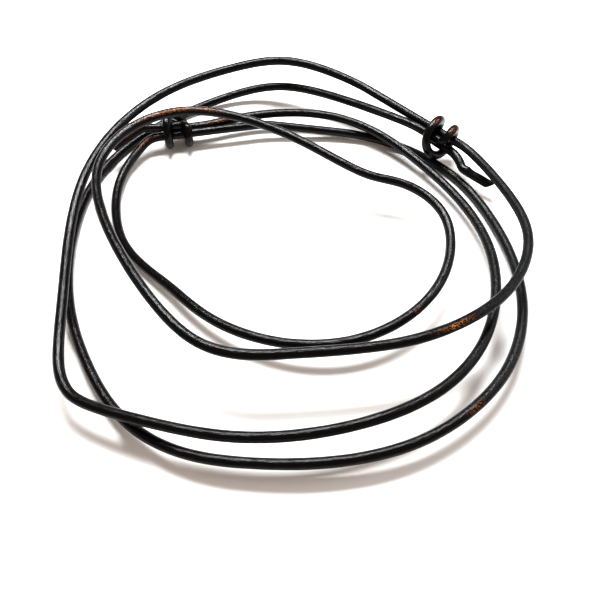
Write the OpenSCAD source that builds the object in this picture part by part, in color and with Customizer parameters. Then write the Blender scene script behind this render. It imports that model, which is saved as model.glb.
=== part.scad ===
// Eyeglass retainer cord: one length of round leather cord, loosely coiled.
// Each end is tied round the other strand with a double overhand knot, so the
// ring opens and closes as the two knots slide along the cord.
// Millimetres, +Z up, standing on z = 0 with the coil's middle at the origin.

/* [Cord] */
// Diameter of the round leather cord
cord_d = 1.7; // [1.4:0.1:2.1]
// Height of the dyed skin's edge that is left bare at each cut end
cut_depth = 0.3; // [0.2:0.05:0.6]

/* [Knots] */
// Distance between the two wraps of the right knot
right_wrap_pitch = 3.2; // [3.0:0.1:4.2]
// Distance between the two wraps of the left knot
left_wrap_pitch = 3.8; // [3.0:0.1:4.2]
// Free gap between neighbouring strands inside the right knot, which is the looser
right_knot_gap = 0.3; // [0.1:0.02:0.4]
// Free gap between neighbouring strands inside the left knot
left_knot_gap = 0.1; // [0.06:0.02:0.2]
// Roll of the right knot about its strand, degrees
right_roll = 0; // [-10:1:10]
// Roll of the left knot about its strand, degrees
left_roll = 0; // [-8:1:8]
// Height of the right knot's run above where its wraps would touch the front strand
right_knot_lift = 0.3; // [0.2:0.05:0.6]
// Clear height under the lowest wrap of the left knot
left_knot_lift = 0.1; // [0:0.05:0.3]

/* [Tails] */
// Straight length of the right tail, up to its cut end
right_tail_len = 5.0; // [4:0.5:7]
// Straight length of the left tail, up to its cut end
left_tail_len = 6.0; // [4:0.5:7]

/* [Hidden] */

cord_r = cord_d / 2;
black_leather = "#1c1a1a";
raw_leather = "#b08a5e";

// Straight stretches that the knots slide along: start and end, with the
// height of the cord's underside. Each is as high as its knot needs.
function core_r(gap) = (cord_d + gap) / sqrt(3);     // three strands side by side in a knot
function wrap_r(gap) = core_r(gap) + cord_d + gap;   // centre line of the wraps round them
left_run_z = wrap_r(left_knot_gap) + cord_r + left_knot_lift - core_r(left_knot_gap) / 2;
right_run_low = cord_d + wrap_r(right_knot_gap) + right_knot_lift;
right_run_ends = [[16, 34.2, right_run_low + 1.6], [32, 20.7, right_run_low]];
left_run_ends = [[-8, 29, left_run_z], [-26.5, 25.6, left_run_z]];
right_knot_from_end = 3.6;   // knot's middle, short of the outer end of its run
left_knot_from_end = 3.4;
core_half = 4;               // strands inside a knot run straight this far each way

// Routes, one point every 4 to 12 mm and closest where the cord is kinked:
// x, y, height of the cord's underside.
neck_route = [
    [36.8, 12.6, 5.5], [39.5, 4, 6.5], [40.5, -5, 7.5], [36.5, -14, 7.5], [29.5, -20.5, 8],
    [19.5, -25.3, 8], [8.5, -26.8, 8], [-1, -27.4, 8], [-6.5, -27.8, 8], [-14, -26.2, 8], [-21, -19, 8.5],
    [-27, -10.5, 9], [-32.3, -1, 9.5], [-35.3, 9.5, 10], [-31, 19, 10.5], [-21.5, 25, 10.2],
    [-10.5, 24, 9.2], [0, 20, 7.7], [9.5, 13.5, 6.5], [15, 10.2, 6], [21, 10, 5.5], [28.5, 3, 5],
    [27, -9.5, 4.5], [20, -18.5, 4], [9.5, -23.5, 3.5], [-2, -23.2, 3], [-12, -18.8, 2],
    [-18.2, -13.2, 1.5], [-20.8, -10.3, 1], [-26.5, -5.5, 0.5], [-31, 0, 0], [-33.5, 7.5, 0], [-34, 15.5, 0.5],
    [-31.5, 21, 1.5]];
rear_route = [
    [-9, 32, 2.5], [0, 32.6, 3], [9, 31.4, 3], [17.5, 27, 2.5], [25, 19.5, 1.5],
    [31.5, 10, 1.5], [35, -1, 2.5], [34.6, -12, 3.5], [30.8, -23.3, 4], [23, -31.7, 4.5],
    [13, -36.5, 5], [1.5, -39, 5], [-9.5, -39, 4.5], [-20.5, -36.5, 4.5], [-30.8, -33.3, 3.5],
    [-33.7, -30.8, 3.5], [-35.8, -26.5, 3.5], [-37, -15.5, 4], [-38, -4, 6], [-38, 7.5, 7.5], [-35.5, 18, 8],
    [-30.3, 27.7, 8], [-22.8, 34.4, 8.5], [-12.4, 39.4, 8.7], [-2, 42.7, 8.9], [8, 39.2, 7.9]];
front_route = [
    [4, 29.2, 1.2], [15, 28.5, 0.5], [25, 24, 0], [33, 16.5, 0], [37.5, 6, 0],
    [39.5, -5.5, 1], [38.5, -17, 2], [34, -27.4, 2.5], [26, -35, 2.5], [17, -39.8, 2.5],
    [6, -42, 2.5], [-5.5, -42, 2.5], [-16.5, -40.5, 2], [-26, -34.5, 1], [-32.5, -25, 0.5],
    [-37.5, -15, 0], [-40, -4, 0], [-40.5, 7.5, 0], [-38.5, 18, 0], [-32.5, 28, 0],
    [-24, 35.5, 0], [-13, 41, 1], [-3, 42, 3], [8, 36.9, 4]];
// Bends between the knots and the straight tails, and the tails' own direction.
right_tail_route = [[32.5, 17.5, 3.2]];
right_tail_start = [33.5, 15.5, 2.7];
right_tail_tip = [37.5, 12.5, 2.1];
left_tail_route = [];
left_tail_start = [-30.5, 25, 4.5];
left_tail_tip = [-35.5, 20.5, 3.7];

// --- vectors -------------------------------------------------------------
function unit(v) = v / norm(v);
function lift(p) = p + [0, 0, cord_r];
function off_axis(v, axis) = unit(v - (v * axis) * axis);
function smooth(t) = let (c = min(max(t, 0), 1)) c * c * (3 - 2 * c);

// --- curves: a uniform cubic B-spline that starts and ends on its end points
function blend(p, i, t) =
    ((1 - t) ^ 3 * p[i] + (3 * t ^ 3 - 6 * t ^ 2 + 4) * p[i + 1]
     + (-3 * t ^ 3 + 3 * t ^ 2 + 3 * t + 1) * p[i + 2] + t ^ 3 * p[i + 3]) / 6;
function curve(points, steps) =
    let (n = len(points),
         p = concat([2 * points[0] - points[1]], points, [2 * points[n - 1] - points[n - 2]]))
    concat([for (i = [0:n - 2]) for (k = [0:steps - 1]) blend(p, i, k / steps)],
           [points[n - 1]]);
function part_of(list, from, to) = [for (i = [from:to]) list[i]];

// --- tube: rings square to the path, carried along it without twist --------
function tangent(path, i) =
    unit(path[min(i + 1, len(path) - 1)] - path[max(i - 1, 0)]);
function carried(normal, t) = off_axis(normal, t);
function normals(path, first) =
    [for (i = 0, n = carried(first, tangent(path, 0)); i < len(path);
          i = i + 1, n = i < len(path) ? carried(n, tangent(path, i)) : n) n];
module tube(path, sides, first_normal = [0, 0, 1]) {
    n = normals(path, first_normal);
    rings = len(path);
    points = [for (i = [0:rings - 1])
        let (b = cross(tangent(path, i), n[i]))
        for (k = [0:sides - 1])
            path[i] + cord_r * (cos(360 * k / sides) * n[i] + sin(360 * k / sides) * b)];
    sides_faces = [for (i = [0:rings - 2]) for (k = [0:sides - 1])
        let (a = i * sides + k, c = i * sides + (k + 1) % sides)
        each [[a, a + sides, c], [c, a + sides, c + sides]]];
    polyhedron(points, concat([[for (k = [0:sides - 1]) k]], sides_faces,
        [[for (k = [sides - 1:-1:0]) (rings - 1) * sides + k]]), convexity = 10);
}
// Round bar between two points: a true cylinder.
module bar(from, to) {
    v = to - from;
    translate(from) rotate([0, acos(v[2] / norm(v)), atan2(v[1], v[0])])
        cylinder(h = norm(v), r = cord_r, $fn = 32);
}

// --- double overhand knot --------------------------------------------------
// One strand enters beside the through strand, bends outward past the wraps,
// makes them on its way back, then dives in and leaves along the core.
// Each point: distance along the knot, angle round it, distance off its axis.
wrap_step = 40;
knot_turn = 600;
ramp_turn = 120;             // turn over which the strand climbs to the wraps
wrap_spread = 3 / (2 + cos(wrap_step));   // the curve runs inside its points
bend_r = 1.2 * cord_d;
function core_points(pitch, gap, end) = let (x = pitch / 2 - 0.2 * cord_d)
    [for (k = [0:3]) [end * core_half * (1 - k / 3) - end * x * k / 3,
                      end < 0 ? 0 : knot_turn, core_r(gap)]];
function wrap_points(pitch, gap) = [for (a = [wrap_step:wrap_step:knot_turn - wrap_step])
    let (e = min(a, knot_turn - a),
         climb = sin(90 * min((e - wrap_step) / (ramp_turn - wrap_step), 1)),
         bulge = 0.2 * cord_d * (1 - smooth((e - wrap_step) / (ramp_turn + 20 - wrap_step))),
         side = a < knot_turn / 2 ? 1 : -1)
    [pitch / 2 * (1 - 2 * smooth((a - knot_turn / 2 + 80) / 160)) + side * bulge,
     a, bend_r + (wrap_spread * wrap_r(gap) - bend_r) * climb]];
function reversed(list) = [for (i = [len(list) - 1:-1:0]) list[i]];
function knot_points(pitch, gap) =
    concat(core_points(pitch, gap, -1), wrap_points(pitch, gap), reversed(core_points(pitch, gap, 1)));

// A knot's place: [centre, axis, direction to the through strand, third axis].
// The axis runs from the strand that enters the knot to its tail.
function knot_place(run, from_end, gap, toward, roll, hand) =
    let (a = unit(run[1] - run[0]), p0 = off_axis(toward, a), q0 = cross(a, p0),
         p = cos(roll) * p0 + sin(roll) * q0)
    [run[1] - from_end * a - core_r(gap) * p, a, p, hand * cross(a, p)];
function in_place(place, points) = [for (c = points)
    let (t = c[1] - 120)
    place[0] + c[0] * place[1] + c[2] * (cos(t) * place[2] + sin(t) * place[3])];

right_run_line = [lift(right_run_ends[0]), lift(right_run_ends[1])];
left_run_line = [[left_run_ends[0][0], left_run_ends[0][1], left_run_z],
                 [left_run_ends[1][0], left_run_ends[1][1], left_run_z]];
right_place = knot_place(right_run_line, right_knot_from_end, right_knot_gap,
    [0.54, 0.68, 0.5], right_roll, -1);
left_place = knot_place(left_run_line, left_knot_from_end, left_knot_gap,
    [0, -0.87, -0.5], left_roll, 1);
right_core = in_place(right_place, knot_points(right_wrap_pitch, right_knot_gap));
left_core = in_place(left_place, knot_points(left_wrap_pitch, left_knot_gap));

// --- whole routes ------------------------------------------------------------
steps = 3;                   // rings between two route points
tie = 2.5;                   // straight lead out of each run and knot
lead_rings = 8;              // rings in the stretch that flexes as a knot slides
right_dir = unit(right_run_line[1] - right_run_line[0]);
left_dir = unit(left_run_line[1] - left_run_line[0]);
function lifted(route) = [for (p = route) lift(p)];
neck_path = curve(concat([right_run_line[1], right_run_line[1] + tie * right_dir],
    lifted(neck_route), [left_run_line[1] + tie * left_dir, left_run_line[1]]), steps);
rear_path = curve(concat([left_core[0], left_core[0] - tie * left_dir],
    lifted(rear_route), [right_run_line[0] - tie * right_dir, right_run_line[0]]), steps);
front_path = curve(concat([left_run_line[0], left_run_line[0] - tie * left_dir],
    lifted(front_route), [right_core[0] - tie * right_dir, right_core[0]]), steps);
rear_last = len(rear_path) - 1;
front_last = len(front_path) - 1;

knot_steps = 3;
function tail_bend(core, route, start, tip) =
    let (d = unit(lift(tip) - lift(start)))
    curve(concat(core, lifted(route), [lift(start) - d, lift(start)]), knot_steps);
right_tail_dir = unit(right_tail_tip - right_tail_start);
left_tail_dir = unit(left_tail_tip - left_tail_start);

// --- sub-parts ---------------------------------------------------------------
// Single strand between the knots, the part that goes round the neck.
module neck_strand() color(black_leather) tube(neck_path, 8);

// Strand from the left knot's lead round to the right knot's run.
module rear_strand() color(black_leather)
    tube(part_of(rear_path, lead_rings, rear_last), 8);

// Strand from the left knot's run round to the right knot's lead.
module front_strand() color(black_leather)
    tube(part_of(front_path, 0, front_last - lead_rings), 8);

// Straight stretches that the knots slide along.
module right_run() color(black_leather) bar(right_run_line[0], right_run_line[1]);
module left_run() color(black_leather) bar(left_run_line[0], left_run_line[1]);

// Stretches that flex when a knot slides.
module right_lead() color(black_leather)
    tube(part_of(front_path, front_last - lead_rings, front_last), 8);
module left_lead() color(black_leather) tube(part_of(rear_path, 0, lead_rings), 8);

// Knots, with the bend that leads into each tail.
module right_knot() color(black_leather)
    tube(tail_bend(right_core, right_tail_route, right_tail_start, right_tail_tip), 12);
module left_knot() color(black_leather)
    tube(tail_bend(left_core, left_tail_route, left_tail_start, left_tail_tip), 12);

// Straight tails, and the undyed core that shows at each cut.
module right_tail() color(black_leather)
    bar(lift(right_tail_start), lift(right_tail_start) + right_tail_len * right_tail_dir);
module left_tail() color(black_leather)
    bar(lift(left_tail_start), lift(left_tail_start) + left_tail_len * left_tail_dir);
module right_cut_end() color(raw_leather)
    bar(lift(right_tail_start) + right_tail_len * right_tail_dir,
        lift(right_tail_start) + (right_tail_len + cut_depth) * right_tail_dir);
module left_cut_end() color(raw_leather)
    bar(lift(left_tail_start) + left_tail_len * left_tail_dir,
        lift(left_tail_start) + (left_tail_len + cut_depth) * left_tail_dir);

neck_strand();
rear_strand();
front_strand();
right_run();
left_run();
right_lead();
left_lead();
right_knot();
left_knot();
right_tail();
left_tail();
right_cut_end();
left_cut_end();
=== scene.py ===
# A retainer cord of dyed round leather, loosely coiled, with a sliding knot at each end.
# Lengths are metres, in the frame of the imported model.
import math

import bpy
import numpy as np
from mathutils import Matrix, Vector


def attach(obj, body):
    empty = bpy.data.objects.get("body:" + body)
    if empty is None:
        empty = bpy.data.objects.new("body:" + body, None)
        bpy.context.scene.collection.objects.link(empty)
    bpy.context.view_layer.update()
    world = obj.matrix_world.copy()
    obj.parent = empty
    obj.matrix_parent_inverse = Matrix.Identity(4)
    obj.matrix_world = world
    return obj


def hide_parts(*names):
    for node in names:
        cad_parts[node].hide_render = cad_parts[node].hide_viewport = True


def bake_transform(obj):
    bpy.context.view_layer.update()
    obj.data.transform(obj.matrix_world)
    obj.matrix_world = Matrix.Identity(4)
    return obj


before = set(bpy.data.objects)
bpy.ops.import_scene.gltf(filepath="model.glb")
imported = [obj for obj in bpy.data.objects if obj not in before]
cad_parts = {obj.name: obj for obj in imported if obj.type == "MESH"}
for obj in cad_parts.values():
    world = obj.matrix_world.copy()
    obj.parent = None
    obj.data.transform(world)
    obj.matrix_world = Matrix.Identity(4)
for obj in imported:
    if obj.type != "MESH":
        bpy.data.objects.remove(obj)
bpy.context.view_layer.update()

bl_info = {
    "name": "Leather retainer cord",
    "version": (1, 0, 0),
    "blender": (4, 5, 0),
    "location": "3D View > Sidebar > Retainer cord",
    "description": "Dyed round leather cord in a loose coil, with two sliding knots",
    "category": "Add Mesh",
}

MM = 0.001

# --- the cord's route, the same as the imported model's -------------------------------------
CORD_D = 0.0017
CORD_R = CORD_D / 2
CORE_HALF = 0.004                             # half length of the straight core inside a knot
TIE = 0.0025                                  # straight lead out of each run and knot
RIGHT_GAP, LEFT_GAP = 0.0003, 0.0001          # between neighbouring strands; the right knot is looser
RIGHT_PITCH, LEFT_PITCH = 0.0032, 0.0038      # between the two wraps
RIGHT_FROM_END, LEFT_FROM_END = 0.0036, 0.0034   # each knot's middle, short of its run's outer end
RIGHT_LIFT, LEFT_LIFT = 0.0003, 0.0001        # clear height under each knot


def core_r(gap):
    """Off the axis of a knot to each of the three strands side by side inside it."""
    return (CORD_D + gap) / math.sqrt(3)


def wrap_r(gap):
    """Off the axis of a knot to the centre line of the wraps."""
    return core_r(gap) + CORD_D + gap


LEFT_RUN_Z = wrap_r(LEFT_GAP) + CORD_R + LEFT_LIFT - core_r(LEFT_GAP) / 2
RIGHT_RUN_LOW = CORD_D + wrap_r(RIGHT_GAP) + RIGHT_LIFT
RIGHT_RUN_ENDS = [[0.016, 0.0342, RIGHT_RUN_LOW + 0.0016], [0.032, 0.0207, RIGHT_RUN_LOW]]
LEFT_RUN_ENDS = [[-0.008, 0.029, LEFT_RUN_Z - CORD_R], [-0.0265, 0.0256, LEFT_RUN_Z - CORD_R]]

# One point every 4 to 12 mm and closest at the kinks: x, y, height of the cord's underside.
NECK_ROUTE = [
    [0.0368, 0.0126, 0.0055], [0.0395, 0.004, 0.0065], [0.0405, -0.005, 0.0075], [0.0365, -0.014, 0.0075],
    [0.0295, -0.0205, 0.008], [0.0195, -0.0253, 0.008], [0.0085, -0.0268, 0.008], [-0.001, -0.0274, 0.008],
    [-0.0065, -0.0278, 0.008], [-0.014, -0.0262, 0.008], [-0.021, -0.019, 0.0085], [-0.027, -0.0105, 0.009],
    [-0.0323, -0.001, 0.0095], [-0.0353, 0.0095, 0.01], [-0.031, 0.019, 0.0105], [-0.0215, 0.025, 0.0102],
    [-0.0105, 0.024, 0.0092], [0, 0.02, 0.0077], [0.0095, 0.0135, 0.0065], [0.015, 0.0102, 0.006],
    [0.021, 0.01, 0.0055], [0.0285, 0.003, 0.005], [0.027, -0.0095, 0.0045], [0.02, -0.0185, 0.004],
    [0.0095, -0.0235, 0.0035], [-0.002, -0.0232, 0.003], [-0.012, -0.0188, 0.002], [-0.0182, -0.0132, 0.0015],
    [-0.0208, -0.0103, 0.001], [-0.0265, -0.0055, 0.0005], [-0.031, 0, 0], [-0.0335, 0.0075, 0],
    [-0.034, 0.0155, 0.0005], [-0.0315, 0.021, 0.0015],
]
REAR_ROUTE = [
    [-0.009, 0.032, 0.0025], [0, 0.0326, 0.003], [0.009, 0.0314, 0.003], [0.0175, 0.027, 0.0025],
    [0.025, 0.0195, 0.0015], [0.0315, 0.01, 0.0015], [0.035, -0.001, 0.0025], [0.0346, -0.012, 0.0035],
    [0.0308, -0.0233, 0.004], [0.023, -0.0317, 0.0045], [0.013, -0.0365, 0.005], [0.0015, -0.039, 0.005],
    [-0.0095, -0.039, 0.0045], [-0.0205, -0.0365, 0.0045], [-0.0308, -0.0333, 0.0035],
    [-0.0337, -0.0308, 0.0035], [-0.0358, -0.0265, 0.0035], [-0.037, -0.0155, 0.004], [-0.038, -0.004, 0.006],
    [-0.038, 0.0075, 0.0075], [-0.0355, 0.018, 0.008], [-0.0303, 0.0277, 0.008], [-0.0228, 0.0344, 0.0085],
    [-0.0124, 0.0394, 0.0087], [-0.002, 0.0427, 0.0089], [0.008, 0.0392, 0.0079],
]
FRONT_ROUTE = [
    [0.004, 0.0292, 0.0012], [0.015, 0.0285, 0.0005], [0.025, 0.024, 0], [0.033, 0.0165, 0],
    [0.0375, 0.006, 0], [0.0395, -0.0055, 0.001], [0.0385, -0.017, 0.002], [0.034, -0.0274, 0.0025],
    [0.026, -0.035, 0.0025], [0.017, -0.0398, 0.0025], [0.006, -0.042, 0.0025], [-0.0055, -0.042, 0.0025],
    [-0.0165, -0.0405, 0.002], [-0.026, -0.0345, 0.001], [-0.0325, -0.025, 0.0005], [-0.0375, -0.015, 0],
    [-0.04, -0.004, 0], [-0.0405, 0.0075, 0], [-0.0385, 0.018, 0], [-0.0325, 0.028, 0],
    [-0.024, 0.0355, 0], [-0.013, 0.041, 0.001], [-0.003, 0.042, 0.003], [0.008, 0.0369, 0.004],
]
RIGHT_TAIL_ROUTE = [[0.0325, 0.0175, 0.0032]]
RIGHT_TAIL_START = [0.0335, 0.0155, 0.0027]
RIGHT_TAIL_TIP = [0.0375, 0.0125, 0.0021]
LEFT_TAIL_START = [-0.0305, 0.025, 0.0045]
LEFT_TAIL_TIP = [-0.0355, 0.0205, 0.0037]
RIGHT_TAIL_LEN = 0.0053
LEFT_TAIL_LEN = 0.0063

# Angles round a knot, in degrees.
WRAP_STEP = 40           # between points
KNOT_TURN = 600          # in all
RAMP_TURN = 120          # while it climbs from a bend to the wraps
ENTRY_TURN = 120         # from the run to where the strand enters
BULGE_TURN = 140         # while a bend still bulges out of the knot
CROSS_TURN = 160         # while it crosses from one wrap to the other
BEND_R = 1.2 * CORD_D    # off the axis at a bend
BULGE = 0.2 * CORD_D     # how far a bend stands out along the knot

# --- how finely the surfaces are worked out --------------------------------------------------
SPAN_STEPS = 24          # points between two points of a route, before they are evened out
LEAD_STEPS = 64          # the first 2 2/3 spans next to a knot, where the real cord flexes as the knot slides
STRAND_RING = 0.00036    # distance between rings along a strand
KNOT_RING = 0.00016
SIDES = 24


def unit(v):
    """Each vector divided by its length."""
    v = np.asarray(v, float)
    return v / np.linalg.norm(v, axis=-1, keepdims=True)


def off_axis(v, axis):
    """v less its part along the axis, as a unit vector."""
    return unit(v - np.dot(v, axis) * axis)


def smooth(t):
    """0 below 0, 1 above 1 and 3t^2 - 2t^3 between."""
    t = np.clip(t, 0, 1)
    return t * t * (3 - 2 * t)


def lift(points):
    """From the cord's underside up to its centre line."""
    return np.array(points, float) + [0, 0, CORD_R]


def spline(points, steps=SPAN_STEPS):
    """Uniform cubic B-spline: each span is its four nearest points weighted by (1-t)^3, 3t^3-6t^2+4,
    -3t^3+3t^2+3t+1 and t^3, all over 6. One more point is mirrored past each end, so it starts and
    stops on the end points."""
    points = np.array(points, float)
    held = np.vstack([2 * points[0] - points[1], points, 2 * points[-1] - points[-2]])
    t = np.arange(steps) / steps
    weights = np.stack([(1 - t) ** 3, 3 * t**3 - 6 * t**2 + 4, -3 * t**3 + 3 * t**2 + 3 * t + 1, t**3], 1) / 6
    spans = np.stack([held[i:len(held) - 3 + i] for i in range(4)], 1)
    return np.vstack([np.einsum("sk,nkd->nsd", weights, spans).reshape(-1, 3), points[-1]])


def even(line, spacing):
    """The same line with points at even distances along it, read off its running length."""
    along = np.concatenate([[0], np.cumsum(np.linalg.norm(np.diff(line, axis=0), axis=1))])
    wanted = np.linspace(0, along[-1], max(2, round(along[-1] / spacing) + 1))
    return np.stack([np.interp(wanted, along, line[:, axis]) for axis in range(3)], 1)


# --- double overhand knot ----------------------------------------------------------------------
def core_points(pitch, gap, end):
    """Straight strand in the knot's core, from its mouth inward: along the knot, angle, off its axis."""
    inner = pitch / 2 - BULGE
    along = end * (CORE_HALF + (-inner - CORE_HALF) * np.arange(4) / 3)
    angle = 0 if end < 0 else KNOT_TURN
    return np.stack([along, np.full(4, angle), np.full(4, core_r(gap))], 1)


def wrap_points(pitch, gap):
    """The two wraps: the angle runs evenly, the distance off the axis climbs by a quarter sine from the
    bend to the wraps, and the place along the knot eases from one wrap to the other half way round."""
    spread = 3 / (2 + math.cos(math.radians(WRAP_STEP))) * wrap_r(gap)
    angle = np.arange(WRAP_STEP, KNOT_TURN, WRAP_STEP)
    from_end = np.minimum(angle, KNOT_TURN - angle)
    climb = np.sin(np.radians(90 * np.minimum((from_end - WRAP_STEP) / (RAMP_TURN - WRAP_STEP), 1)))
    bulge = BULGE * (1 - smooth((from_end - WRAP_STEP) / (BULGE_TURN - WRAP_STEP)))
    side = np.where(angle < KNOT_TURN / 2, 1, -1)
    crossed = smooth((angle - KNOT_TURN / 2 + CROSS_TURN / 2) / CROSS_TURN)
    along = pitch / 2 * (1 - 2 * crossed) + side * bulge
    return np.stack([along, angle, BEND_R + (spread - BEND_R) * climb], 1)


def knot_core(run, from_end, gap, toward, hand, pitch):
    """Points of the knot's strand in the model's frame. Its axis is the run's, its middle is off the run
    by the core's radius, and angles are measured so that the strand enters at 0 degrees."""
    axis = unit(run[1] - run[0])
    through = off_axis(np.array(toward), axis)
    third = hand * np.cross(axis, through)
    centre = run[1] - from_end * axis - core_r(gap) * through
    way_in, way_out = core_points(pitch, gap, -1), core_points(pitch, gap, 1)[::-1]
    points = np.vstack([way_in, wrap_points(pitch, gap), way_out])
    turn = np.radians(points[:, 1] - ENTRY_TURN)[:, None]
    return centre + points[:, :1] * axis + points[:, 2:] * (np.cos(turn) * through + np.sin(turn) * third)


def stretches():
    """The whole cord from the right tail's tip to the left tail's, as named lines in order."""
    right_run, left_run = lift(RIGHT_RUN_ENDS), lift(LEFT_RUN_ENDS)
    right_dir, left_dir = unit(right_run[1] - right_run[0]), unit(left_run[1] - left_run[0])
    right_core = knot_core(right_run, RIGHT_FROM_END, RIGHT_GAP, [0.54, 0.68, 0.5], -1, RIGHT_PITCH)
    left_core = knot_core(left_run, LEFT_FROM_END, LEFT_GAP, [0, -0.87, -0.5], 1, LEFT_PITCH)
    neck = spline([right_run[1], right_run[1] + TIE * right_dir, *lift(NECK_ROUTE),
                   left_run[1] + TIE * left_dir, left_run[1]])
    rear = spline([left_core[0], left_core[0] - TIE * left_dir, *lift(REAR_ROUTE),
                   right_run[0] - TIE * right_dir, right_run[0]])
    front = spline([left_run[0], left_run[0] - TIE * left_dir, *lift(FRONT_ROUTE),
                    right_core[0] - TIE * right_dir, right_core[0]])
    right_start, left_start = lift(RIGHT_TAIL_START), lift(LEFT_TAIL_START)
    right_out, left_out = unit(lift(RIGHT_TAIL_TIP) - right_start), unit(lift(LEFT_TAIL_TIP) - left_start)
    right_knot = spline([*right_core, *lift(RIGHT_TAIL_ROUTE), right_start - MM * right_out, right_start])
    left_knot = spline([*left_core, left_start - MM * left_out, left_start])
    right_tail = np.array([right_start, right_start + RIGHT_TAIL_LEN * right_out])
    left_tail = np.array([left_start, left_start + LEFT_TAIL_LEN * left_out])
    return {
        "right_tail_cord": even(right_tail, KNOT_RING)[::-1],
        "right_knot_cord": even(right_knot, KNOT_RING)[::-1],
        "right_lead_cord": even(front[-1 - LEAD_STEPS:], STRAND_RING)[::-1],
        "front_cord": even(front[:-LEAD_STEPS], STRAND_RING)[::-1],
        "left_run_cord": even(left_run, STRAND_RING),
        "neck_cord": even(neck, STRAND_RING)[::-1],
        "right_run_cord": even(right_run, STRAND_RING)[::-1],
        "rear_cord": even(rear[LEAD_STEPS:], STRAND_RING)[::-1],
        "left_lead_cord": even(rear[:LEAD_STEPS + 1], STRAND_RING)[::-1],
        "left_knot_cord": even(left_knot, KNOT_RING),
        "left_tail_cord": even(left_tail, KNOT_RING),
    }


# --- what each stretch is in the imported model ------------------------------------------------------
ROOT, RIGHT, LEFT = "cord", "right_sliding_knot", "left_sliding_knot"
STANDS_FOR = {
    "right_tail_cord": (RIGHT, "right_tail"),
    "right_knot_cord": (RIGHT, "right_knot"),
    "right_lead_cord": ((ROOT, RIGHT), "right_lead"),
    "front_cord": (ROOT, "front_strand"),
    "left_run_cord": (ROOT, "left_run"),
    "neck_cord": (ROOT, "neck_strand"),
    "right_run_cord": (ROOT, "right_run"),
    "rear_cord": (ROOT, "rear_strand"),
    "left_lead_cord": ((ROOT, LEFT), "left_lead"),
    "left_knot_cord": (LEFT, "left_knot"),
    "left_tail_cord": (LEFT, "left_tail"),
}

# Tan marks, partly where the dye is rubbed through and partly a painted warm glint: a point near the cord,
# half length, strength.
RUB_AND_GLINT_MARKS = np.array([
    [0.0252, -0.0230, 0.0090, 0.0023, 1.00],
    [0.0205, -0.0180, 0.0050, 0.0006, 0.40],
    [0.0275, -0.0335, 0.0035, 0.0015, 0.50],
    [-0.0240, 0.0245, 0.0115, 0.0060, 0.55],
    [-0.0160, 0.0255, 0.0110, 0.0025, 0.40],
    [-0.0330, 0.0225, 0.0052, 0.0030, 0.65],
    [-0.0290, 0.0235, 0.0035, 0.0025, 0.60],
    [-0.0150, 0.0310, 0.0036, 0.0030, 0.50],
    [0.0278, 0.0233, 0.0090, 0.0010, 0.90],
    [0.0306, 0.0217, 0.0080, 0.0008, 0.70],
])
RUB_AND_GLINT_SIDE = unit([0.05, -0.45, 0.89])       # faces up and forward: the rubbed crest and the painted warm glint

RUB_GLINT_LOW, RUB_GLINT_RAMP = 0.84, 0.12             # cosine off that side where the rub and the painted glint start, and its ramp

# A charcoal sheen is painted on the open stretches that lie to the right, whose wax is also duller: from the
# first x to the second.
SHEEN_FROM, SHEEN_TO = 0.020, 0.042
OPEN_AT, OPEN_RAMP = 1.4, 6                # a stretch is open while OPEN_AT - OPEN_RAMP * bend is above 0

# Cuts: slope off square, and the side on which the cord is longer.
RIGHT_SLANT = (0.75, (0.0, 0.6, 0.8))
LEFT_SLANT = (0.2, (0.2, 0.4, 0.9))
CUT_FADE = 0.0016            # how far from a cut its slant reaches
EDGE_DROP, EDGE_REACH = 0.09, 0.00016   # rounded edge of the skin at a cut

# Unevenness of the cut lace, as shares of the radius: size, length along the cord, phase.
WAVES = ((0.010, 0.031, 0.4), (0.008, 0.0127, 2.1), (0.006, 0.0049, 4.0))
OVAL, OVAL_TURN = 0.014, 0.09                # out of round, and the length in which that turns once
ELBOW_FOLD, ELBOW_PINCH = 0.22, 0.5          # height of the elbow's fold, and its pinches' share of it
ELBOW_WIDTH, ELBOW_REACH = 0.0009, 0.004     # half width of the fold, and how far past the tail it may lie
PINCH_AT, FAR = 1.3, 9                       # in half widths: where the pinches are, and well clear of them

CORD_FIELDS = ("space", "rub_and_glint", "dull_and_sheen", "bend")


def radius_of(along, angle, line, normal):
    """Half thickness over the cord: its mean, times 1 plus three slow waves along it and one that goes
    twice round it and turns slowly, so it is nowhere quite round, plus the fold at the right tail's elbow:
    a bell curve along the cord on its upper side, with a pinch on each side of it, less a bell curve that
    rounds the skin's edge at each cut."""
    waves = sum(size * np.sin(2 * np.pi * along / length + phase) for size, length, phase in WAVES)
    oval = OVAL * np.cos(2 * angle[None, :] + 2 * np.pi * along[:, None] / OVAL_TURN)
    elbow = np.linalg.norm(line - lift(RIGHT_TAIL_START), axis=1) / ELBOW_WIDTH
    elbow = np.where(along < RIGHT_TAIL_LEN + ELBOW_REACH, elbow, FAR)
    fold = np.exp(-elbow**2) - ELBOW_PINCH * np.exp(-(elbow - PINCH_AT) ** 2)
    fold = fold[:, None] * np.clip(normal[..., 2], 0, 1)
    from_cut = np.minimum(along, along[-1] - along)
    edge = EDGE_DROP * np.exp(-((from_cut / EDGE_REACH) ** 2))[:, None]
    return CORD_R * (1 + waves[:, None] + oval + ELBOW_FOLD * fold - edge)


def sheared(surface, line, along, tangent):
    """Each cut is oblique: near it a point moves along the cord by the cut's slope times its own distance
    from the centre line towards the slant, fading out as 1 - smooth over CUT_FADE."""
    for at, way, slant in ((0, -1, RIGHT_SLANT), (-1, 1, LEFT_SLANT)):
        from_cut = along if at == 0 else along[-1] - along
        fade = (1 - smooth(from_cut / CUT_FADE))[:, None]
        out = way * tangent[at]
        across = off_axis(np.array(slant[1]), out)
        shift = slant[0] * fade * ((surface - line[:, None]) @ across)
        surface = surface + shift[..., None] * out
    return surface


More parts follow.
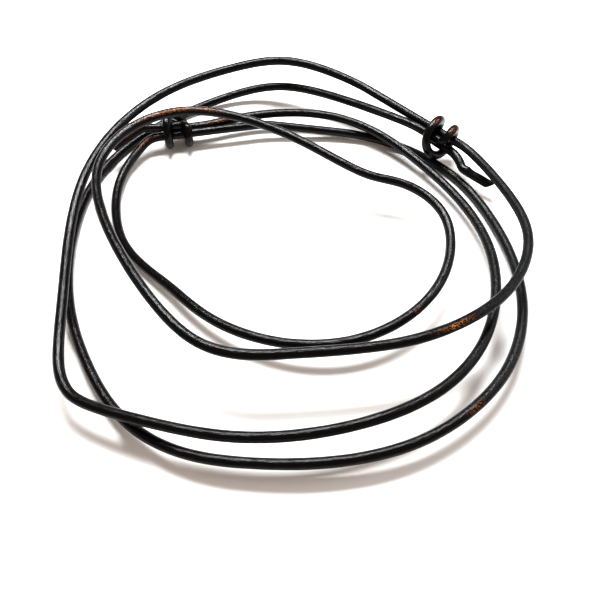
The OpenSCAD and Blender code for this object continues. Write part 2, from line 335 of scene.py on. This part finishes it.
def carried(line):
    """Tangents along the line, and normals carried along it without twist: each is the last one less its
    part along the next tangent."""
    tangent = unit(np.gradient(line, axis=0))
    normal = np.empty_like(line)
    normal[0] = off_axis(np.array([0, 0, 1.0]), tangent[0])
    for i in range(1, len(line)):
        normal[i] = off_axis(normal[i - 1], tangent[i])
    return tangent, normal, np.cross(tangent, normal)


def whole_cord():
    """Rings of the whole cord, worked out at once so that every stretch meets the next: centre plus radius
    times (cos a * normal + sin a * binormal), for a from 0 to 360 degrees."""
    parts, where, at = [], {}, 0
    for name, points in stretches().items():
        points = points if not parts else points[1:]
        where[name] = (max(at - 1, 0), at + len(points))
        parts.append(points)
        at += len(points)
    line = np.vstack(parts)
    along = np.concatenate([[0], np.cumsum(np.linalg.norm(np.diff(line, axis=0), axis=1))])
    tangent, normal, binormal = carried(line)
    angle = 2 * np.pi * np.arange(SIDES) / SIDES
    outward = np.cos(angle)[:, None] * normal[:, None] + np.sin(angle)[:, None] * binormal[:, None]
    radius = radius_of(along, angle, line, outward)
    surface = sheared(line[:, None] + radius[..., None] * outward, line, along, tangent)
    turning = np.linalg.norm(np.gradient(tangent, axis=0), axis=1)
    bend = turning / np.maximum(np.gradient(along), 1e-9) * CORD_R
    marks = RUB_AND_GLINT_MARKS[:, None, :3] - line[None]
    nearest = np.linalg.norm(marks, axis=2).argmin(1)
    spread = (along[None] - along[nearest][:, None]) / RUB_AND_GLINT_MARKS[:, 3:4]
    rub_and_glint_along = (RUB_AND_GLINT_MARKS[:, 4:5] * np.exp(-spread**2)).max(0)[:, None]
    # A painted warm glint on the side facing up and forward, mixed with the marks where the dye is rubbed
    # through.
    rub_and_glint = rub_and_glint_along * smooth((outward @ RUB_AND_GLINT_SIDE - RUB_GLINT_LOW) / RUB_GLINT_RAMP)
    # A painted charcoal sheen on the open stretches to the right, which also dulls their polish.
    dull_and_sheen = smooth((line[:, 0] - SHEEN_FROM) / (SHEEN_TO - SHEEN_FROM)) * smooth(OPEN_AT - OPEN_RAMP * bend)
    across = CORD_R * np.cos(angle), CORD_R * np.sin(angle)
    space = np.stack(np.broadcast_arrays(along[:, None], *across), 2)
    return {"where": where, "line": line, "surface": surface, "tangent": tangent, "space": space, "rub_and_glint": rub_and_glint,
            "dull_and_sheen": np.repeat(dull_and_sheen[:, None], SIDES, 1),
            "bend": np.repeat(np.clip(bend, 0, 1)[:, None], SIDES, 1)}


def put(name, points, faces, attributes, material, sharp=None):
    """A mesh object at the origin, with its surface attributes and one material."""
    mesh = bpy.data.meshes.new(name)
    mesh.from_pydata(points, [], faces)
    mesh.polygons.foreach_set("use_smooth", np.ones(len(mesh.polygons), bool))
    for key, values in attributes.items():
        kind, field = ("FLOAT_VECTOR", "vector") if values.ndim == 2 else ("FLOAT", "value")
        mesh.attributes.new(key, kind, "POINT").data.foreach_set(field, values.astype(np.float32).ravel())
    if sharp is not None:
        ends = np.empty(2 * len(mesh.edges), np.int32)
        mesh.edges.foreach_get("vertices", ends)
        creased = mesh.attributes.new("sharp_edge", "BOOLEAN", "EDGE")
        creased.data.foreach_set("value", sharp(ends.reshape(-1, 2)))
    mesh.materials.append(material)
    mesh.validate()
    obj = bpy.data.objects.new(name, mesh)
    bpy.context.scene.collection.objects.link(obj)
    return obj


def cord_piece(cord, name, material):
    """The named stretch of the cord as a tube of four-sided faces, with one face closing each end."""
    first, stop = cord["where"][name]
    surface = cord["surface"][first:stop]
    rings = len(surface)
    ring, side = np.meshgrid(np.arange(rings - 1), np.arange(SIDES), indexing="ij")
    after = (side + 1) % SIDES
    walls = np.stack([ring * SIDES + side, ring * SIDES + after,
                      (ring + 1) * SIDES + after, (ring + 1) * SIDES + side], -1).reshape(-1, 4)
    last = (rings - 1) * SIDES
    faces = [*walls.tolist(), list(range(SIDES))[::-1], list(range(last, last + SIDES))]
    attributes = {key: cord[key][first:stop].reshape(rings * SIDES, -1).squeeze() for key in CORD_FIELDS}
    attributes = {"cord_" + key: values for key, values in attributes.items()}
    return put(name, surface.reshape(-1, 3), faces, attributes, material,
               lambda ends: (ends < SIDES).all(1) | (ends >= last).all(1))


def cut_face(name, centre, out, slant, material):
    """The cut end: a shallow dome of height h(1 - r^4) plus small sine ridges of the fibres, on a grid of
    rings and spokes, tipped by the slope of the cut, with a short skirt that closes it inside the skin."""
    slope, side = slant
    across = off_axis(np.array(side), out)
    third = np.cross(out, across)
    share, spokes = np.linspace(0.06, 1, 14), 2 * np.pi * np.arange(48) / 48
    r, a = np.meshgrid(share, spokes, indexing="ij")
    ridges = 0.00003 * np.sin(9 * a + 14 * r) * np.sin(21 * r) + 0.00002 * np.sin(23 * a - 9 * r)
    height = 0.00012 * (1 - r**4) + ridges * (1 - r**6)
    reach = 0.90 * CORD_R * r
    x, y = reach * np.cos(a), reach * np.sin(a)
    front = centre + x[..., None] * across + y[..., None] * third + (height + slope * x)[..., None] * out
    back = front[-1] - 0.0002 * out
    points = np.vstack([front.reshape(-1, 3), back, front[0].mean(0) + 0.00002 * out, back.mean(0)])
    n, rows = len(spokes), len(share) + 1
    ring, spoke = np.meshgrid(np.arange(rows - 1), np.arange(n), indexing="ij")
    after = (spoke + 1) % n
    grid = np.stack([ring * n + spoke, (ring + 1) * n + spoke, (ring + 1) * n + after, ring * n + after], -1)
    spoke = np.arange(n)
    following = (spoke + 1) % n
    tip = np.stack([np.full(n, rows * n), spoke, following], 1)
    base = np.stack([np.full(n, rows * n + 1), (rows - 1) * n + following, (rows - 1) * n + spoke], 1)
    return put(name, points, [*grid.reshape(-1, 4).tolist(), *tip.tolist(), *base.tolist()], {}, material)


# --- materials ------------------------------------------------------------------------------------------
def linear(hex_colour):
    """sRGB hex to linear: c/12.92 up to 0.04045, else ((c + 0.055) / 1.055)^2.4."""
    c = np.array([int(hex_colour[i:i + 2], 16) for i in (1, 3, 5)]) / 255
    return tuple(np.where(c <= 0.04045, c / 12.92, ((c + 0.055) / 1.055) ** 2.4).tolist())


def add_node(tree, kind, inputs=None, **settings):
    """Adds a node. inputs maps sockets, by name or number, to a value or to the socket that feeds it."""
    node = tree.nodes.new(kind)
    for key, value in settings.items():
        setattr(node, key, value)
    for key, value in (inputs or {}).items():
        socket = node.inputs[key]
        if isinstance(value, bpy.types.NodeSocket):
            tree.links.new(value, socket)
        else:
            socket.default_value = value
    return node


def new_material(name):
    """An empty node material and its tree."""
    material = bpy.data.materials.new(name)
    material.use_nodes = True
    material.node_tree.nodes.clear()
    return material, material.node_tree


# Grain of the leather: distance along the cord and across it, in mm, and octaves of detail.
GRAIN = {
    "fibre": (1.3, 0.20, 3),      # the split hide's fibres run along the cord
    "pore": (0.30, 0.22, 2),      # drawn coarser than the real 0.1 mm, which would not show
    "crease": (0.30, 1.5, 1),     # creases across the cord, opened by a bend
    "dye": (7.0, 1.6, 2),         # the dye took unevenly
    "speckle": (0.26, 0.13, 3),   # crumbs of dye where it is rubbed through, and specks of the painted warm glint
}


def dyed_leather(colours):
    """Aniline-dyed cowhide lace, rounded and polished with wax: near black, with a narrow highlight that the
    grain breaks into dashes, a painted charcoal sheen on the open stretches to the right, whose wax is also
    duller, and tan marks that are partly the hide showing where the dye is rubbed through and partly a
    painted warm glint."""
    material, tree = new_material("black_dyed_leather")
    space = add_node(tree, "ShaderNodeAttribute", attribute_name="cord_space").outputs["Vector"]
    rub_and_glint = add_node(tree, "ShaderNodeAttribute", attribute_name="cord_rub_and_glint").outputs["Fac"]
    dull_and_sheen = add_node(tree, "ShaderNodeAttribute", attribute_name="cord_dull_and_sheen").outputs["Fac"]
    bend = add_node(tree, "ShaderNodeAttribute", attribute_name="cord_bend").outputs["Fac"]
    grain = {}
    for name, (along, across, detail) in GRAIN.items():
        scale = (1 / (along * MM), 1 / (across * MM), 1 / (across * MM))
        scaled = add_node(tree, "ShaderNodeMapping", {"Vector": space, "Scale": scale})
        grain[name] = add_node(tree, "ShaderNodeTexNoise", {
            "Vector": scaled.outputs[0], "Scale": 1.0, "Detail": float(detail), "Roughness": 0.6}).outputs[0]
    crumbs = add_node(tree, "ShaderNodeMapRange", {
        "Value": grain["speckle"], "From Min": 0.52, "From Max": 0.58}, interpolation_type="SMOOTHSTEP")
    # Tan crumbs where the dye is rubbed through, which also paint a warm glint.
    worn_and_glint = add_node(tree, "ShaderNodeMath", {0: crumbs.outputs[0], 1: rub_and_glint}, operation="MULTIPLY")
    dye = add_node(tree, "ShaderNodeMix", {
        0: grain["dye"], 6: (*colours.dye, 1), 7: (*colours.thin_dye, 1)}, data_type="RGBA")
    # Painted charcoal sheen over the dye on the open stretches to the right.
    dye_and_sheen = add_node(tree, "ShaderNodeMix", {0: dull_and_sheen, 6: dye.outputs[2], 7: (*colours.painted_sheen_grey, 1)},
                     data_type="RGBA")
    hide = add_node(tree, "ShaderNodeMix", {
        0: grain["fibre"], 6: (*colours.hide, 1), 7: (*colours.waxed_hide, 1)}, data_type="RGBA")
    colour = add_node(tree, "ShaderNodeMix", {0: worn_and_glint.outputs[0], 6: dye_and_sheen.outputs[2], 7: hide.outputs[2]},
                      data_type="RGBA")
    polish = add_node(tree, "ShaderNodeMapRange", {
        "Value": grain["pore"], "From Min": 0.3, "From Max": 0.7, "To Min": 0.10, "To Max": 0.24})
    matt = add_node(tree, "ShaderNodeMath", {0: dull_and_sheen, 1: 0.16, 2: polish.outputs[0]},
                    operation="MULTIPLY_ADD")
    gloss = add_node(tree, "ShaderNodeMath", {0: worn_and_glint.outputs[0], 1: 0.15, 2: matt.outputs[0]},
                     operation="MULTIPLY_ADD")
    lines = add_node(tree, "ShaderNodeMath", {0: grain["pore"], 1: 0.7, 2: grain["fibre"]},
                     operation="MULTIPLY_ADD")
    opened = add_node(tree, "ShaderNodeMath", {0: grain["crease"], 1: bend}, operation="MULTIPLY")
    relief = add_node(tree, "ShaderNodeMath", {0: opened.outputs[0], 1: 0.9, 2: lines.outputs[0]},
                      operation="MULTIPLY_ADD")
    bump = add_node(tree, "ShaderNodeBump", {
        "Height": relief.outputs[0], "Strength": 1.0, "Distance": 0.00006})
    surface = add_node(tree, "ShaderNodeBsdfPrincipled", {
        "Base Color": colour.outputs[2], "Roughness": gloss.outputs[0], "Normal": bump.outputs[0],
        "IOR": 1.45, "Specular IOR Level": 0.28, "Sheen Weight": 0.05, "Sheen Roughness": 0.3,
        "Sheen Tint": (*colours.bloom, 1)})
    add_node(tree, "ShaderNodeOutputMaterial", {"Surface": surface.outputs[0]})
    return material


def cut_leather(colours):
    """Undyed vegetable-tanned core at the cut: tan, matt, with short fibre ends."""
    material, tree = new_material("raw_cut_leather")
    space = add_node(tree, "ShaderNodeTexCoord").outputs["Object"]
    ends = add_node(tree, "ShaderNodeTexNoise", {"Vector": space, "Scale": 9000.0, "Detail": 3.0})
    blot = add_node(tree, "ShaderNodeTexNoise", {"Vector": space, "Scale": 2200.0, "Detail": 1.0})
    colour = add_node(tree, "ShaderNodeMix", {
        0: ends.outputs[0], 6: (*colours.hide, 1), 7: (*colours.waxed_hide, 1)}, data_type="RGBA")
    stained = add_node(tree, "ShaderNodeMapRange", {
        "Value": blot.outputs[0], "From Min": 0.4, "From Max": 0.7, "To Min": 0.0, "To Max": 0.7})
    mixed = add_node(tree, "ShaderNodeMix", {
        0: stained.outputs[0], 6: colour.outputs[2], 7: (*colours.thin_dye, 1)}, data_type="RGBA")
    bump = add_node(tree, "ShaderNodeBump", {"Height": ends.outputs[0], "Strength": 0.8, "Distance": 0.00005})
    surface = add_node(tree, "ShaderNodeBsdfPrincipled", {
        "Base Color": mixed.outputs[2], "Roughness": 0.85, "Normal": bump.outputs[0], "IOR": 1.45})
    add_node(tree, "ShaderNodeOutputMaterial", {"Surface": surface.outputs[0]})
    return material


def matt_paper(colour):
    """Plain white paper under the cord."""
    material, tree = new_material("matt_white_paper")
    surface = add_node(tree, "ShaderNodeBsdfPrincipled", {
        "Base Color": (*colour, 1), "Roughness": 0.9, "IOR": 1.45, "Specular IOR Level": 0.2})
    add_node(tree, "ShaderNodeOutputMaterial", {"Surface": surface.outputs[0]})
    return material


# --- settings -------------------------------------------------------------------------------------------
class LeatherColours(bpy.types.PropertyGroup):
    """Colours of the leather and of what it lies on"""
    dye: bpy.props.FloatVectorProperty(
        name="Dye", description="Where the black dye is thick", subtype="COLOR", default=linear("#060608"))
    thin_dye: bpy.props.FloatVectorProperty(
        name="Thin dye", description="Where the hide shows faintly", subtype="COLOR",
        default=linear("#110e0e"))
    # Grey of the painted sheen.
    painted_sheen_grey: bpy.props.FloatVectorProperty(
        name="Painted sheen", description="Grey painted sheen on the open stretches to the right", subtype="COLOR", default=linear("#141717"))
    hide: bpy.props.FloatVectorProperty(
        name="Hide", description="Undyed leather", subtype="COLOR", default=linear("#f59a45"))
    waxed_hide: bpy.props.FloatVectorProperty(
        name="Waxed hide", description="Undyed leather, darkened by wax", subtype="COLOR",
        default=linear("#8a4a1c"))
    bloom: bpy.props.FloatVectorProperty(
        name="Bloom", description="Violet bloom of the dye at a grazing angle", subtype="COLOR",
        default=linear("#4a34a0"))
    paper: bpy.props.FloatVectorProperty(
        name="Paper", description="What the cord lies on", subtype="COLOR", default=linear("#f4f4f4"))


class StudioSizes(bpy.types.PropertyGroup):
    """Where the camera and the lights stand"""
    camera_elevation: bpy.props.FloatProperty(
        name="Camera elevation", description="Angle above the surface", subtype="ANGLE",
        default=math.radians(56))
    camera_distance: bpy.props.FloatProperty(
        name="Camera distance", description="From the lens to the middle of the view", unit="LENGTH",
        default=0.1014)
    lens: bpy.props.FloatProperty(
        name="Lens", description="Focal length in mm on a 36 mm sensor", default=36.66)
    floor: bpy.props.FloatProperty(
        name="Paper size", description="Side of the sheet of paper", unit="LENGTH", default=1.6)


# --- operators --------------------------------------------------------------------------------------------
CAMERA_AIM = (0.0015, -0.014, 0.003)


class AddCamera(bpy.types.Operator):
    """Camera in front of the coil, looking down at it"""
    bl_idname = "retainer.camera"
    bl_label = "Camera"

    def execute(self, context):
        sizes = context.scene.retainer_studio
        back = np.array([0, -math.cos(sizes.camera_elevation), math.sin(sizes.camera_elevation)])
        camera = bpy.data.objects.new("camera", bpy.data.cameras.new("camera"))
        camera.location = np.array(CAMERA_AIM) + sizes.camera_distance * back
        camera.rotation_euler = (math.pi / 2 - sizes.camera_elevation, 0, 0)
        camera.data.lens = sizes.lens
        camera.data.clip_start, camera.data.clip_end = 0.001, 10
        context.scene.collection.objects.link(camera)
        context.scene.camera = camera
        return {"FINISHED"}


def fasten(piece, name):
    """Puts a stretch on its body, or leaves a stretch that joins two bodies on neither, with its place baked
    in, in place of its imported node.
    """
    body, node = STANDS_FOR[name]
    if isinstance(body, tuple):
        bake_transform(piece)
    else:
        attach(piece, body)
    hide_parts(node)


class AddCord(bpy.types.Operator):
    """The whole leather cord: strands, runs, leads, knots and tails"""
    bl_idname = "retainer.cord"
    bl_label = "Cord and knots"

    def execute(self, context):
        cord = whole_cord()
        leather = dyed_leather(context.scene.retainer_colours)
        for name in STANDS_FOR:
            piece = cord_piece(cord, name, leather)
            fasten(piece, name)
        return {"FINISHED"}


class AddCutEnds(bpy.types.Operator):
    """The two cut ends, where the undyed core shows"""
    bl_idname = "retainer.cut_ends"
    bl_label = "Cut ends"

    def execute(self, context):
        leather = cut_leather(context.scene.retainer_colours)
        cord = whole_cord()
        for name, body, at, way, slant in (
                ("right_cut_face", RIGHT, 0, -1, RIGHT_SLANT), ("left_cut_face", LEFT, -1, 1, LEFT_SLANT)):
            piece = cut_face(name, cord["line"][at], way * cord["tangent"][at], slant, leather)
            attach(piece, body)
            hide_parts(name.replace("face", "end"))
        return {"FINISHED"}


ROOM_COLOUR, ROOM_STRENGTH = (1.0, 0.87, 0.78, 1), 0.45     # warm light back from the room
# Lamps: where each stands, its size, power in watts and colour.
LAMPS = {
    "window": ((-0.01, 0.095, 0.19), (0.13, 0.05), 0.74, (0.95, 0.98, 1.0)),
    "side_panel": ((0.22, 0.02, 0.16), (0.12, 0.12), 0.12, (0.95, 0.98, 1.0)),
}


class AddStage(bpy.types.Operator):
    """White paper, a soft window behind the coil and a pale panel to its right"""
    bl_idname = "retainer.stage"
    bl_label = "Paper and lamps"

    def execute(self, context):
        scene = context.scene
        half = scene.retainer_studio.floor / 2
        corners = [(-half, -half, 0), (half, -half, 0), (half, half, 0), (-half, half, 0)]
        paper = put("paper", corners, [(0, 1, 2, 3)], {}, matt_paper(scene.retainer_colours.paper))
        for name, (place, (width, depth), power, colour) in LAMPS.items():
            lamp = bpy.data.objects.new(name, bpy.data.lights.new(name, "AREA"))
            lamp.data.shape, lamp.data.size, lamp.data.size_y = "RECTANGLE", width, depth
            lamp.data.energy, lamp.data.color = power, colour
            lamp.location = place
            lamp.rotation_euler = Vector([-c for c in place]).to_track_quat("-Z", "Y").to_euler()
            scene.collection.objects.link(lamp)
        world = bpy.data.worlds.new("room")
        world.use_nodes = True
        world.node_tree.nodes.clear()
        room = add_node(world.node_tree, "ShaderNodeBackground", {
            "Color": ROOM_COLOUR, "Strength": ROOM_STRENGTH})
        add_node(world.node_tree, "ShaderNodeOutputWorld", {"Surface": room.outputs[0]})
        scene.world = world
        scene.view_settings.view_transform = "Standard"
        scene.view_settings.look = "High Contrast"
        return {"FINISHED"}


class RetainerPanel(bpy.types.Panel):
    """Sizes, colours and steps of the retainer cord"""
    bl_idname = "VIEW3D_PT_retainer"
    bl_label = "Retainer cord"
    bl_space_type = "VIEW_3D"
    bl_region_type = "UI"
    bl_category = "Retainer cord"

    def draw(self, context):
        for settings in (context.scene.retainer_studio, context.scene.retainer_colours):
            for key in settings.__annotations__:
                self.layout.prop(settings, key)
        for operator in STEPS:
            self.layout.operator(operator.bl_idname)


STEPS = (AddCamera, AddCord, AddCutEnds, AddStage)
CLASSES = (LeatherColours, StudioSizes, *STEPS, RetainerPanel)


def register():
    for cls in CLASSES:
        bpy.utils.register_class(cls)
    bpy.types.Scene.retainer_colours = bpy.props.PointerProperty(type=LeatherColours)
    bpy.types.Scene.retainer_studio = bpy.props.PointerProperty(type=StudioSizes)


def unregister():
    del bpy.types.Scene.retainer_studio
    del bpy.types.Scene.retainer_colours
    for cls in reversed(CLASSES):
        bpy.utils.unregister_class(cls)


def main():
    """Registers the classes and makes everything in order."""
    register()
    bpy.ops.retainer.camera()
    bpy.ops.retainer.cord()
    bpy.ops.retainer.cut_ends()
    bpy.ops.retainer.stage()


if __name__ == "__main__":
    main()
